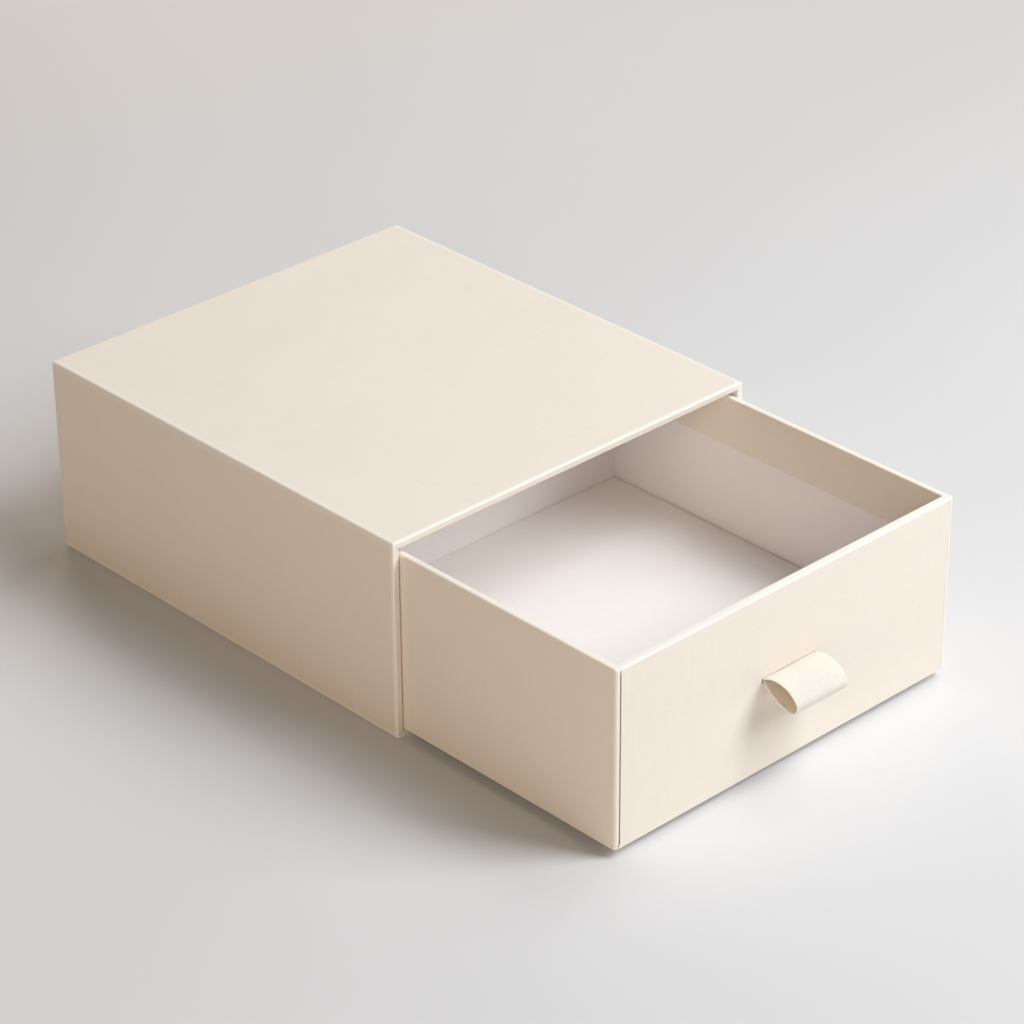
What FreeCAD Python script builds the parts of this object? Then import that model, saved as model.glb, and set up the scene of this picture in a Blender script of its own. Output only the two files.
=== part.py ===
import FreeCAD, Part
import math
import os

# A rigid gift box: an open-fronted sleeve and a drawer that slides in it, both of greyboard covered with
# paper, with a loop of grosgrain ribbon through the drawer's front to pull it by.
# Millimetres, +Z up. The sleeve's base is centred on the origin, the drawer opens towards -Y, and at rest
# it stands pulled out by rest_opening.

# Sleeve
sleeve_width = 150.0
sleeve_height = 68.5
sleeve_length = 165.0
sleeve_board = 2.0
sleeve_turn_in = 15.0

# Paper over the boards
cover_paper = 0.15
liner_paper = 0.15
wrap_radius = 1.0

# Drawer, and how it fits the sleeve
drawer_board = 2.0
drawer_front_board = 2.5
drawer_turn_in = 17.5
corner_flange = 1.8
run_clearance = 0.4
side_clearance = 0.5
head_clearance = 2.1
end_clearance = 17.1
rest_opening = 91.0

# Pad that raises the drawer's floor
pad_foam = 10.2
pad_face = 0.35
pad_clearance = 0.4
pad_back_clearance = 0.1

# Ribbon, its slot and the loop's side view, which is three arcs: upper side, nose and lower side
ribbon_width = 22.0
ribbon_thickness = 0.55
slot_above_middle = 0.9
slot_side_clearance = 0.5
slot_edge_clearance = 0.2
tail_clearance = 0.2
tail_below_band = 1.3
loop_clearance = 0.6
nose_reach = 10.9
nose_drop = 3.8
nose_radius = 2.75
upper_side_radius = 10.0
lower_side_radius = 18.0

# How far a cutting solid runs past what it cuts, and how straight an edge must lie to count as along an axis
overrun = 5.0
aligned_share = 0.99

Y_AXIS = FreeCAD.Vector(0, 1, 0)
Z_AXIS = FreeCAD.Vector(0, 0, 1)


def both(half):
    """The span that reaches a half size to either side of zero."""
    return (-half, half)


def inset(span, low, high):
    """A span drawn in at its low and its high end."""
    return (span[0] + low, span[1] - high)


def low_layer(span, thickness):
    """The layer of one thickness at a span's low end."""
    return (span[0], span[0] + thickness)


def high_layer(span, thickness):
    """The layer of one thickness at a span's high end."""
    return (span[1] - thickness, span[1])


def block(x, y, z):
    """A box over three spans."""
    return Part.makeBox(x[1] - x[0], y[1] - y[0], z[1] - z[0], FreeCAD.Vector(x[0], y[0], z[0]))


def rounded_block(x, y, z, axis, radius):
    """A box with its four edges along one axis rounded."""
    box = block(x, y, z)
    along = [edge for edge in box.Edges if abs(edge.tangentAt(edge.FirstParameter).dot(axis)) > aligned_share]
    return box.makeFillet(radius, along)


def face_of(edges):
    """A flat face bounded by edges given in order."""
    return Part.Face(Part.Wire(edges))


def prism(points, z):
    """A solid over a plan outline, between two heights."""
    corners = [FreeCAD.Vector(px, py, z[0]) for px, py in points]
    sides = [Part.LineSegment(a, b).toShape() for a, b in zip(corners, corners[1:] + corners[:1])]
    return face_of(sides).extrude(FreeCAD.Vector(0, 0, z[1] - z[0]))


# Spans of the sleeve, from the outside in: its paper, its boards' outer and inner faces, and the lined bay
sleeve_x = both(sleeve_width / 2)
sleeve_y = both(sleeve_length / 2)
sleeve_z = (0, sleeve_height)
shell_x = inset(sleeve_x, cover_paper, cover_paper)
shell_y = inset(sleeve_y, cover_paper, cover_paper)
shell_z = inset(sleeve_z, cover_paper, cover_paper)
hollow_x = inset(shell_x, sleeve_board, sleeve_board)
hollow_z = inset(shell_z, sleeve_board, sleeve_board)
bay_x = inset(hollow_x, liner_paper, liner_paper)
bay_y = inset(sleeve_y, 0, cover_paper + sleeve_board + liner_paper)
bay_z = inset(hollow_z, liner_paper, liner_paper)

# Spans of the drawer, from the outside in, with its front flush with the sleeve's mouth when it is shut
drawer_length = bay_y[1] - bay_y[0] - end_clearance
drawer_x = inset(bay_x, side_clearance, side_clearance)
drawer_y = low_layer((sleeve_y[0] - rest_opening, 0), drawer_length)
drawer_z = inset(bay_z, run_clearance, head_clearance)
tray_x = inset(drawer_x, cover_paper, cover_paper)
tray_y = inset(drawer_y, cover_paper, cover_paper)
tray_z = inset(drawer_z, cover_paper, cover_paper)
well_x = inset(tray_x, drawer_board, drawer_board)
well_y = inset(tray_y, drawer_front_board, drawer_board)
well_z = inset(tray_z, drawer_board, 0)
inside_x = inset(well_x, liner_paper, liner_paper)
inside_y = inset(well_y, liner_paper, liner_paper)
band_z = high_layer(drawer_z, drawer_turn_in)
lined_z = (well_z[0], band_z[0])
seam_x = both(drawer_x[1] - corner_flange)

# The slot's height, and how far the ribbon's ends reach above and below it behind the front board
slot_z = (drawer_z[0] + drawer_z[1]) / 2 + slot_above_middle
tail_reach = band_z[0] - tail_below_band - slot_z


def long_cut(span, low, high):
    """A span run past the solid that it cuts at its low end, its high end or both."""
    return inset(span, -overrun * low, -overrun * high)


def sleeve_boards():
    """Top and bottom run full width, the sides stand between them and the back closes the tube's end."""
    shell = rounded_block(shell_x, shell_y, shell_z, Y_AXIS, wrap_radius - cover_paper)
    layers = {
        "sleeve_bottom_board": (shell_x, shell_y, low_layer(shell_z, sleeve_board)),
        "sleeve_top_board": (shell_x, shell_y, high_layer(shell_z, sleeve_board)),
        "sleeve_left_board": (low_layer(shell_x, sleeve_board), shell_y, hollow_z),
        "sleeve_right_board": (high_layer(shell_x, sleeve_board), shell_y, hollow_z),
        "sleeve_back_board": (hollow_x, high_layer(shell_y, sleeve_board), hollow_z),
    }
    return {name: shell.common(block(*spans)) for name, spans in layers.items()}


def sleeve_papers():
    """The wrap runs round the sleeve and turns in at the mouth. Base, back and inside have their own sheets."""
    outside = rounded_block(sleeve_x, sleeve_y, sleeve_z, Y_AXIS, wrap_radius)
    core = rounded_block(shell_x, long_cut(shell_y, 0, 1), shell_z, Y_AXIS, wrap_radius - cover_paper)
    tube = core.cut(block(hollow_x, long_cut(sleeve_y, 1, 1), hollow_z))
    bay = block(bay_x, long_cut(sleeve_y, 1, 1), bay_z)
    lined_y = inset(sleeve_y, sleeve_turn_in, cover_paper + sleeve_board)
    behind_turn_in = block(hollow_x, long_cut(lined_y, 0, 1), hollow_z)
    base = block(inset(sleeve_x, wrap_radius, wrap_radius), sleeve_y, low_layer(sleeve_z, cover_paper))
    back = outside.common(block(sleeve_x, high_layer(sleeve_y, cover_paper), sleeve_z)).cut(base)
    wrap = outside.cut(tube).cut(bay).cut(behind_turn_in).cut(base).cut(back)
    liner = block(hollow_x, lined_y, hollow_z).cut(bay)
    return {
        "sleeve_wrap": wrap,
        "sleeve_base_paper": base,
        "sleeve_back_cover": back,
        "sleeve_liner": liner,
        "sleeve_back_liner": block(bay_x, high_layer(lined_y, liner_paper), bay_z),
    }


def ribbon_slot():
    """The cut that the ribbon's two layers pass through."""
    half_height = ribbon_thickness + slot_edge_clearance
    return block(both(ribbon_width / 2 + slot_side_clearance), long_cut((drawer_y[0], inside_y[0]), 1, 1),
                 (slot_z - half_height, slot_z + half_height))


def drawer_boards():
    """The walls stand on the floor board, the sides between the front and the back."""
    tray = rounded_block(tray_x, tray_y, tray_z, Z_AXIS, wrap_radius - cover_paper)
    wall_z = (well_z[0], tray_z[1])
    layers = {
        "drawer_floor_board": (tray_x, tray_y, low_layer(tray_z, drawer_board)),
        "drawer_front_board": (tray_x, low_layer(tray_y, drawer_front_board), wall_z),
        "drawer_back_board": (tray_x, high_layer(tray_y, drawer_board), wall_z),
        "drawer_left_board": (low_layer(tray_x, drawer_board), well_y, wall_z),
        "drawer_right_board": (high_layer(tray_x, drawer_board), well_y, wall_z),
    }
    boards = {name: tray.common(block(*spans)) for name, spans in layers.items()}
    boards["drawer_front_board"] = boards["drawer_front_board"].cut(ribbon_slot())
    return boards


def end_zone(beyond_y, outer_y, inner_y, z):
    """What belongs to the front or back sheet: between the corner seams, mitred across the rim."""
    return prism([(seam_x[0], beyond_y), (seam_x[1], beyond_y), (seam_x[1], outer_y),
                  (inside_x[1], inner_y), (inside_x[0], inner_y), (seam_x[0], outer_y)], z)


def drawer_covers():
    """Cover paper on the walls, over the rim and down inside to the band's edge, in four sheets.

    The side sheets turn round the corners by corner_flange, and the front and back sheets start there.
    """
    outside = rounded_block(drawer_x, drawer_y, drawer_z, Z_AXIS, wrap_radius)
    core_z = long_cut(tray_z, 1, 0)
    core = rounded_block(tray_x, tray_y, core_z, Z_AXIS, wrap_radius - cover_paper)
    walls = core.cut(block(well_x, well_y, long_cut(drawer_z, 2, 1)))
    cavity = block(inside_x, inside_y, long_cut(drawer_z, 1, 1))
    below_band = block(well_x, well_y, long_cut((drawer_z[0], band_z[0]), 1, 0))
    skin = outside.cut(walls).cut(cavity).cut(below_band)

    outer_y = long_cut(drawer_y, 1, 1)
    tall_z = long_cut(drawer_z, 1, 1)
    front_zone = end_zone(outer_y[0], drawer_y[0], inside_y[0], tall_z)
    back_zone = end_zone(outer_y[1], drawer_y[1], inside_y[1], tall_z)
    sides = skin.cut(front_zone).cut(back_zone)
    reach = long_cut(drawer_x, 1, 1)
    return {
        "drawer_front_cover": skin.common(front_zone).cut(ribbon_slot()),
        "drawer_back_cover": skin.common(back_zone),
        "drawer_left_wrap": sides.common(block((reach[0], 0), outer_y, tall_z)),
        "drawer_right_wrap": sides.common(block((0, reach[1]), outer_y, tall_z)),
        "drawer_base_paper": core.common(block(tray_x, tray_y, low_layer(drawer_z, cover_paper))),
    }


def tail_spans(clearance):
    """The place of the ribbon's ends behind the front board, with room around them."""
    tails_z = (slot_z - tail_reach, slot_z + tail_reach)
    return (both(ribbon_width / 2 + clearance), low_layer((well_y[0], 0), ribbon_thickness),
            inset(tails_z, -clearance, -clearance))


def drawer_liners():
    """White paper inside the walls below the cream band. The front sheet rises over the ribbon's ends."""
    tails_x, tails_y, tails_z = tail_spans(tail_clearance)
    front = block(inside_x, low_layer(well_y, liner_paper), lined_z)
    blister = block(inset(tails_x, -liner_paper, -liner_paper), inset(tails_y, 0, -liner_paper),
                    inset(tails_z, -liner_paper, -liner_paper))
    pocket = block(tails_x, long_cut(tails_y, 1, 0), tails_z)
    return {
        "drawer_front_liner": front.fuse(blister).cut(pocket).removeSplitter(),
        "drawer_back_liner": block(inside_x, high_layer(well_y, liner_paper), lined_z),
        "drawer_left_liner": block(low_layer(well_x, liner_paper), well_y, lined_z),
        "drawer_right_liner": block(high_layer(well_x, liner_paper), well_y, lined_z),
    }


def floor_pad():
    """A foam pad faced with white card, a little smaller than the lined well and pushed to its back."""
    pad_x = inset(inside_x, pad_clearance, pad_clearance)
    pad_y = inset(inside_y, pad_clearance, pad_back_clearance)
    foam_z = low_layer(well_z, pad_foam)
    face_z = low_layer((foam_z[1], 0), pad_face)
    return {"floor_pad_foam": block(pad_x, pad_y, foam_z), "floor_pad_face": block(pad_x, pad_y, face_z)}


def ribbon_tails():
    """The ribbon's two ends: side by side through the slot, then glued up and down behind the front board."""
    tails_x, tails_y, tails_z = tail_spans(0)
    pair_z = (slot_z - ribbon_thickness, slot_z + ribbon_thickness)
    through = block(tails_x, (drawer_y[0], tails_y[1]), pair_z)
    return {"ribbon_tails": through.fuse(block(tails_x, tails_y, tails_z)).removeSplitter()}


def meeting_point(first, first_radius, second, second_radius, side):
    """Where two circles of the side view cross, on the left (1) or right (-1) of the line between them."""
    across = (second[0] - first[0], second[1] - first[1])
    apart = math.hypot(*across)
    along = (apart ** 2 + first_radius ** 2 - second_radius ** 2) / (2 * apart)
    aside = side * math.sqrt(first_radius ** 2 - along ** 2)
    return (first[0] + (across[0] * along - across[1] * aside) / apart,
            first[1] + (across[1] * along + across[0] * aside) / apart)


def beyond(centre, through, radius):
    """The point one radius from a centre, on the ray through another point."""
    across = (through[0] - centre[0], through[1] - centre[1])
    scale = radius / math.hypot(*across)
    return (centre[0] + across[0] * scale, centre[1] + across[1] * scale)


def loop_outline(offset):
    """The loop's side view, moved outwards by an offset from the middle of the ribbon, as a flat face.

    Reach is measured out from the drawer's front and rise up from the slot. Each side is an arc that
    leaves the slot and runs into the nose's circle without a corner, so the offset only changes the radii.
    """
    nose = (nose_reach, -nose_drop)
    upper_start = (0, ribbon_thickness / 2)
    lower_start = (0, -ribbon_thickness / 2)
    upper = meeting_point(upper_start, upper_side_radius, nose, upper_side_radius - nose_radius, -1)
    lower = meeting_point(lower_start, lower_side_radius, nose, lower_side_radius - nose_radius, 1)
    upper_end = beyond(upper, nose, upper_side_radius + offset)
    lower_end = beyond(lower, nose, lower_side_radius + offset)
    upper_foot = beyond(upper, upper_start, upper_side_radius + offset)
    lower_foot = beyond(lower, lower_start, lower_side_radius + offset)
    middle = ((upper_foot[0] + upper_end[0]) / 2, (upper_foot[1] + upper_end[1]) / 2)
    upper_middle = beyond(upper, middle, upper_side_radius + offset)
    middle = ((lower_foot[0] + lower_end[0]) / 2, (lower_foot[1] + lower_end[1]) / 2)
    lower_middle = beyond(lower, middle, lower_side_radius + offset)
    tip = beyond((0, 0), nose, math.hypot(*nose) + nose_radius + offset)

    def place(point):
        return FreeCAD.Vector(-ribbon_width / 2, drawer_y[0] - point[0], slot_z + point[1])

    arcs = [(upper_foot, upper_middle, upper_end), (upper_end, tip, lower_end),
            (lower_end, lower_middle, lower_foot)]
    edges = [Part.Arc(place(a), place(b), place(c)).toShape() for a, b, c in arcs]
    edges.append(Part.LineSegment(place(lower_foot), place(upper_foot)).toShape())
    return face_of(edges)


def ribbon_loop():
    """The ribbon outside the front: its two feet stand a clearance off the slot."""
    width = FreeCAD.Vector(ribbon_width, 0, 0)
    outer = loop_outline(ribbon_thickness / 2).extrude(width)
    inner = loop_outline(-ribbon_thickness / 2).extrude(width)
    reach_y = (drawer_y[0] - nose_reach - nose_radius, drawer_y[0] - loop_clearance)
    rise_z = (slot_z - nose_drop - nose_radius, slot_z + nose_radius)
    outside = block(long_cut(both(ribbon_width / 2), 1, 1), long_cut(reach_y, 1, 0), long_cut(rise_z, 1, 1))
    return {"ribbon_loop": outer.cut(inner).common(outside)}


os.makedirs("parts", exist_ok=True)
makers = (sleeve_boards, sleeve_papers, drawer_boards, drawer_covers, drawer_liners, floor_pad,
          ribbon_tails, ribbon_loop)
for maker in makers:
    for name, shape in maker().items():
        shape.exportStep(os.path.join("parts", name + ".step"))
        box = shape.BoundBox
        corners = (box.XMin, box.XMax, box.YMin, box.YMax, box.ZMin, box.ZMax)
        print(name, "solids", len(shape.Solids), "valid", shape.isValid(), "volume", round(shape.Volume, 1),
              "box", [round(value, 2) for value in corners])
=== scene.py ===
"""A rigid gift box: a sleeve and a deep drawer of greyboard, covered with cream paper, and a ribbon loop to pull.

The file is laid out as an add-on and run as a script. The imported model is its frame, so every size that the model
holds is read from it, and only the finish is set here. Metres, +Z up, and the drawer opens towards -Y.
"""

import math

import bpy
import numpy as np
from mathutils import Matrix, Vector


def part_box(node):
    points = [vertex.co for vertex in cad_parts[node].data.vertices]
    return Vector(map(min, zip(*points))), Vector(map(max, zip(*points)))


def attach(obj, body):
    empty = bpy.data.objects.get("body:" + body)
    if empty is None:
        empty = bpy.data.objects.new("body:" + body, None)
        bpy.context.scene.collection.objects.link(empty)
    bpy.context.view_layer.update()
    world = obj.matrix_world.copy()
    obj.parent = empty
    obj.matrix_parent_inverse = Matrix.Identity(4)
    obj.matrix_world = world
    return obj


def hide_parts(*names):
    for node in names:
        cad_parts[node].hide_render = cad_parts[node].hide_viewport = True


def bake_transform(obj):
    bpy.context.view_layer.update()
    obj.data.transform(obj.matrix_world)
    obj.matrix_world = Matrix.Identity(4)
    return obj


bl_info = {
    "name": "Sliding Drawer Gift Box",
    "version": (1, 0, 0),
    "blender": (4, 5, 0),
    "location": "View3D > Sidebar > Gift Box",
    "description": "Papers, boards, pad and ribbon of a rigid gift box with a drawer",
    "category": "Object",
}

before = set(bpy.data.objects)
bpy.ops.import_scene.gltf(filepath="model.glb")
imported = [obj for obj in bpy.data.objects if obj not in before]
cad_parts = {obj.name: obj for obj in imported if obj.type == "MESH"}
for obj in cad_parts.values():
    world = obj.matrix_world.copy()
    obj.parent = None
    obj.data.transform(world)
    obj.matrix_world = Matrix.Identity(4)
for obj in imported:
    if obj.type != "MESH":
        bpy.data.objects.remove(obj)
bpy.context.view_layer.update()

MM = 0.001
X, Y, Z = 0, 1, 2
QUARTER = math.pi / 2


def linear(code):
    """An sRGB hex value as linear red, green and blue."""
    parts = [int(code[k:k + 2], 16) / 255 for k in (1, 3, 5)]
    return tuple(p / 12.92 if p <= 0.04045 else ((p + 0.055) / 1.055) ** 2.4 for p in parts)


def ends(name, axis):
    """Where a node of the model starts and ends along one axis."""
    low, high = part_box(name)
    return low[axis], high[axis]


# Sizes read from the frame
PAPER = ends("sleeve_base_paper", Z)[1] - ends("sleeve_base_paper", Z)[0]
SLEEVE_LOW = np.array([ends("sleeve_wrap", X)[0], ends("sleeve_wrap", Y)[0], ends("sleeve_wrap", Z)[0]])
SLEEVE_HIGH = np.array([ends("sleeve_wrap", X)[1], ends("sleeve_back_cover", Y)[1], ends("sleeve_wrap", Z)[1]])
SLEEVE_WALL = ends("sleeve_left_board", X)[1] + PAPER - SLEEVE_LOW[X]
SLEEVE_TURN_IN_END = ends("sleeve_liner", Y)[0]
WRAP_RADIUS = SLEEVE_HIGH[X] - ends("sleeve_base_paper", X)[1]
BOARD_CORNER = WRAP_RADIUS - PAPER
DRAWER_LOW = np.array([ends("drawer_left_wrap", X)[0], ends("drawer_front_cover", Y)[0],
                       ends("drawer_front_cover", Z)[0]])
DRAWER_HIGH = np.array([ends("drawer_right_wrap", X)[1], ends("drawer_back_cover", Y)[1],
                        ends("drawer_front_cover", Z)[1]])
WELL_LOW = np.array([ends("drawer_left_wrap", X)[1], ends("drawer_front_cover", Y)[1]])
WELL_HIGH = np.array([ends("drawer_right_wrap", X)[0], ends("drawer_back_cover", Y)[0]])
BAND_Z = ends("drawer_left_liner", Z)[1]
SEAM = ends("drawer_front_cover", X)[1]
RIBBON_HALF_WIDTH = ends("ribbon_loop", X)[1]
TAIL_Y = ends("ribbon_tails", Y)[1]
TAIL_TOP = ends("ribbon_tails", Z)[1]
TAIL_BOTTOM = ends("ribbon_tails", Z)[0]
SLOT_Z = (TAIL_TOP + TAIL_BOTTOM) / 2

# Rounded corners and softened edges of the plain slabs
SLEEVE_BOARD_EDGE = 0.55 * MM
DRAWER_BOARD_EDGE = 0.35 * MM
BACK_SHEET_EDGE = 0.06 * MM
BASE_SHEET_EDGE = 0.05 * MM
SLEEVE_BASE_CORNER = 0.2 * MM
DRAWER_BASE_CORNER = 0.6 * MM
PAD_CORNER = 0.8 * MM
FOAM_EDGE = 0.3 * MM
CARD_EDGE = 0.12 * MM
LEAST_CORNER = 1 / 50  # least radius of a ring's corners, as a share of its edge's
NO_LENGTH = 1e-15  # keeps a division from failing

# How finely the pieces are divided: cells across a part of one, or stations between a side's ends
LIP_CELLS = 8
CUT_TO_CORNER_CELLS = 14
SHOULDER_CELLS = 6
LINER_CELLS_ACROSS, LINER_CELLS_UP = 35, 15
BOARD_FACE_CELLS = 5
BOARD_STATIONS = 6
BACK_SHEET_STATIONS = 12
PAD_STATIONS = 8

# The lining over the ribbon's glued ends: its raised field's clearance and the width of its shoulders
FIELD_CLEARANCE = 0.1 * MM
SHOULDER = 1.2 * MM

# The fold at the mouth's corners: shares of its depth, ways in its half widths, and where it fades out
BEAD_SWING = 0.45
RIPPLE_DEPTH = 0.3
RIPPLE_OFF, RIPPLE_WIDTH = 3.2, 0.8
FOLD_END, FOLD_FADE = 5.0 * MM, 2.0 * MM

# Wear and painted highlight, from 0 to 1, which make the cover paper paler over its edges, and how wide they lie
LIP_WEAR_AND_HIGHLIGHT_OFF = 0.4  # from the wrap's outer face to the lip's line of wear and painted highlight, in lip radii
CORNER_WEAR_AND_HIGHLIGHT_OFF, CORNER_WEAR_AND_HIGHLIGHT_WIDTH = 0.59, 0.9  # the same on the wrap's round corners, in their radii
WRAP_CORNER_WEAR_AND_HIGHLIGHT = 0.8
FOOT_WEAR_AND_HIGHLIGHT, RIM_WEAR_AND_HIGHLIGHT, CREST_WEAR_AND_HIGHLIGHT, INNER_RIM_WEAR_AND_HIGHLIGHT = 0.8, 0.35, 0.75, 0.4
CUT_WEAR_AND_HIGHLIGHT, CUT_WEAR_AND_HIGHLIGHT_WIDTH = 0.5, 0.45 * MM
SIDE_WEAR_AND_HIGHLIGHT, SIDE_WEAR_AND_HIGHLIGHT_WIDTH = 0.85, 0.8 * MM

RIM_CLOSING = 1.2 * MM  # how far below the rim a seam's gap closes
SLOT_PRESS_WIDTH = 0.45 * MM

# The ribbon: its middle line, its unevenness and its section
ARC_POINTS = 400
LINE_STEP = 0.02 * MM
SAME_PLACE = 1e-9
RINGS_PER_RIB = 8
RIB_SWING, LONG_WAVE, SHORT_WAVE = 0.18, 2.3 * MM, 1.1 * MM
BOW, BOW_WAVE = 0.10 * MM, 9 * MM
SELVEDGE_WIDTH = 0.2 * MM
EDGE_OUT = np.array([0.35, 0.8, 1, 0.8, 0.35])  # its round edge, in widths of the selvedge
EDGE_UP = np.array([0.9, 0.5, 0, -0.5, -0.9])  # the same in half thicknesses
FACES_APART = 0.01  # puts the two faces' patterns in different places
ON_FACE = 0.8  # share of the half thickness above which a vertex counts as on a face

# Sizes in the patterns of the materials
MOTTLE, SWELL = 26 * MM, 34 * MM
LINEN_THREAD, FELT = 0.9 * MM, 0.7 * MM
PAPER_CLOUD, PAPER_FIBRE = 3 * MM, 0.5 * MM
BOARD_FLECK = 0.6 * MM
FOAM_CELL = 0.8 * MM
YARN_WANDER, YARN_WANDER_PITCH = 0.35 * MM, 0.9 * MM
FLOOR_CLOUD = 180 * MM

FLOOR_DROP = 0.05 * MM  # from the box's base down to the floor
SENSOR_WIDTH = 36.0
NEAREST, FARTHEST = 0.05, 50.0  # what the camera sees, in metres


def length(name, text, default):
    """A size that a user may change."""
    return bpy.props.FloatProperty(name=name, description=text, default=default, subtype="DISTANCE", unit="LENGTH")


def angle(name, text, degrees):
    """An angle that a user may change."""
    return bpy.props.FloatProperty(name=name, description=text, default=math.radians(degrees),
                                   subtype="ANGLE", unit="ROTATION")


def colour(name, text, code):
    """A colour that a user may change, given as an sRGB hex value."""
    return bpy.props.FloatVectorProperty(name=name, description=text, default=linear(code), size=3,
                                         subtype="COLOR", min=0.0, max=1.0)


def number(name, text, default):
    """A plain value that a user may change."""
    return bpy.props.FloatProperty(name=name, description=text, default=default)


class PaperSettings(bpy.types.PropertyGroup):
    """How the papers lie over the boards."""

    lip_radius: length("Lip Radius", "Rounding of the wrap over the mouth's outer edge", 0.5 * MM)
    lip_inner_radius: length("Inner Lip Radius", "Rounding of the wrap into the sleeve", 0.15 * MM)
    rim_radius: length("Rim Radius", "Rounding of the covers over the drawer's outer rim", 0.7 * MM)
    rim_inner_radius: length("Inner Rim Radius", "Rounding of the covers into the drawer", 0.4 * MM)
    foot_radius: length("Foot Radius", "Rounding of the covers under the drawer's lower edge", 0.45 * MM)
    inner_corner: length("Inner Corner", "Rounding of paper in an inside corner", 0.12 * MM)
    crease_depth: length("Crease Depth", "Depth of the fold at the mouth's corners", 0.12 * MM)
    crease_width: length("Crease Width", "Half width of the fold at the mouth's corners", 0.22 * MM)
    crease_reach: length("Crease Reach", "How far the fold runs back from the mouth", 1.6 * MM)
    crease_bead: length("Crease Bead", "From one bead of the fold to the next", 1.2 * MM)
    seam_gap: length("Seam Gap", "Gap between the front sheet's cut edge and the side sheet", 0.62 * MM)
    seam_close: number("Seam Close", "Share of the gap left on the rim, inside and at the right corners", 0.16)
    seam_curve: length("Seam Curve", "Rounding of the side sheet's lower corner", 2.4 * MM)
    slot_press: length("Slot Press", "How far the cut edge of the slot is pressed in", 0.09 * MM)
    cover_colour: colour("Cover Colour", "Cream cover paper", "#f0e7db")
    cover_warm: colour("Warm Cover Colour", "Warmer patches of the cover paper", "#efe6d9")
    # The paler colour over the edges stands partly for stretched paper and partly for painted highlight
    cover_edge_and_highlight: colour("Edge Colour", "Cover paper where it is stretched over an edge", "#faf5ec")
    white_colour: colour("White Colour", "White lining paper", "#f6f1ef")
    board_colour: colour("Board Colour", "Grey fibre board", "#8f8476")


class RibbonSettings(bpy.types.PropertyGroup):
    """The ribbon, its slot and the loop's side view, which is three arcs."""

    thickness: length("Thickness", "Ribbon from rib top to rib top", 0.55 * MM)
    rib_pitch: length("Rib Pitch", "From one rib to the next", 0.85 * MM)
    rib_height: length("Rib Height", "From a groove to the top of a rib", 0.06 * MM)
    yarn_pitch: length("Yarn Pitch", "From one lengthwise yarn to the next", 0.52 * MM)
    selvedge: length("Selvedge", "Depth of the scallops along the ribbon's edges", 0.07 * MM)
    bend: length("Bend", "How much of the ribbon's length a fold takes", 0.9 * MM)
    nose_reach: length("Nose Reach", "From the drawer's front to the middle of the loop's nose", 10.9 * MM)
    nose_drop: length("Nose Drop", "From the slot down to the middle of the loop's nose", 3.8 * MM)
    nose_radius: length("Nose Radius", "Radius of the loop's nose", 2.75 * MM)
    upper_radius: length("Upper Radius", "Radius of the loop's upper side", 10.0 * MM)
    lower_radius: length("Lower Radius", "Radius of the loop's lower side", 18.0 * MM)
    side_clearance: length("Side Clearance", "From the ribbon's edge to the slot's end", 0.5 * MM)
    edge_clearance: length("Edge Clearance", "From the ribbon's face to the slot's edge", 0.2 * MM)
    ribbon_colour: colour("Ribbon Colour", "Ribs of the ribbon", "#e8e0d9")
    # Painted shade: this darker colour is put in the grooves between the ribs and between the yarns
    groove_shade_colour: colour("Groove Colour", "Grooves between the ribs", "#dcd0c1")


class StageSettings(bpy.types.PropertyGroup):
    """The camera, the floor and the light."""

    azimuth: angle("Azimuth", "Camera's direction round the box, from its front", -43.19)
    elevation: angle("Elevation", "Camera's height above the horizon", 29.46)
    roll: angle("Roll", "Camera's turn about its line of sight", -0.46)
    distance: length("Distance", "From the camera to what it looks at", 1186 * MM)
    focal: number("Focal Length", "Focal length in millimetres on a 36 millimetre sensor", 130.9)
    target: bpy.props.FloatVectorProperty(name="Target", description="The point that the camera looks at", size=3,
                                          default=(5.7 * MM, -48.2 * MM, 34.0 * MM), subtype="XYZ", unit="LENGTH")
    floor_size: length("Floor Size", "Width of the floor", 2.0)
    floor_colour: colour("Floor Colour", "Matt backdrop paper", "#dededf")
    sky_strength: number("Sky Strength", "Strength of the even light from all round", 0.015)
    backdrop_colour: colour("Backdrop Colour", "What is seen beyond the floor", "#dad8d6")
    key_power: number("Key Power", "Power of the large lamp at the front right, in watts", 21.0)
    left_power: number("Left Power", "Power of the low warm lamp at the front left, in watts", 4.2)
    fill_power: number("Fill Power", "Power of the weak lamp at the front left, in watts", 2.8)
    back_power: number("Back Power", "Power of the low warm lamp behind on the right, in watts", 7.0)
    right_power: number("Right Power", "Power of the high lamp on the right, in watts", 3.3)
    lamp_distance: length("Lamp Distance", "From the box to each lamp", 1.4)


def steps(stops, counts):
    """Values through a row of stops, with a count of even steps between each two."""
    parts = [np.linspace(a, b, n, endpoint=False) for a, b, n in zip(stops, stops[1:], counts)]
    return np.append(np.concatenate(parts), stops[-1])


def close_to_ends(low, high, lines):
    """Values from low to high: some at given distances from both ends, then even steps of about a pitch.

    The distances are all of lines but the last value, which is the pitch.
    """
    near, pitch = np.asarray(lines[:-1]), lines[-1]
    inner = high - low - 2 * near[-1]
    middle = low + near[-1] + inner * np.linspace(0, 1, max(2, round(inner / pitch) + 1))[1:-1]
    return np.concatenate([[low], low + near, middle, (high - near)[::-1], [high]])


def merged(*parts):
    """All the given values in order, each once."""
    return np.unique(np.round(np.concatenate(parts), 8))


def smooth_step(value):
    """0 below 0, 1 above 1 and a smooth rise between."""
    share = np.clip(value, 0, 1)
    return share * share * (3 - 2 * share)


def bell(distance, width):
    """1 at no distance, falling to about a third at one width, as a bell does."""
    return np.exp(-(distance / width) ** 2)


# Angles of a quarter turn, as fine as each kind of piece needs
WRAP_TURN, WALL_TURN, SLAB_TURN = (steps([0, QUARTER], [count]) for count in (8, 7, 6))

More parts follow.
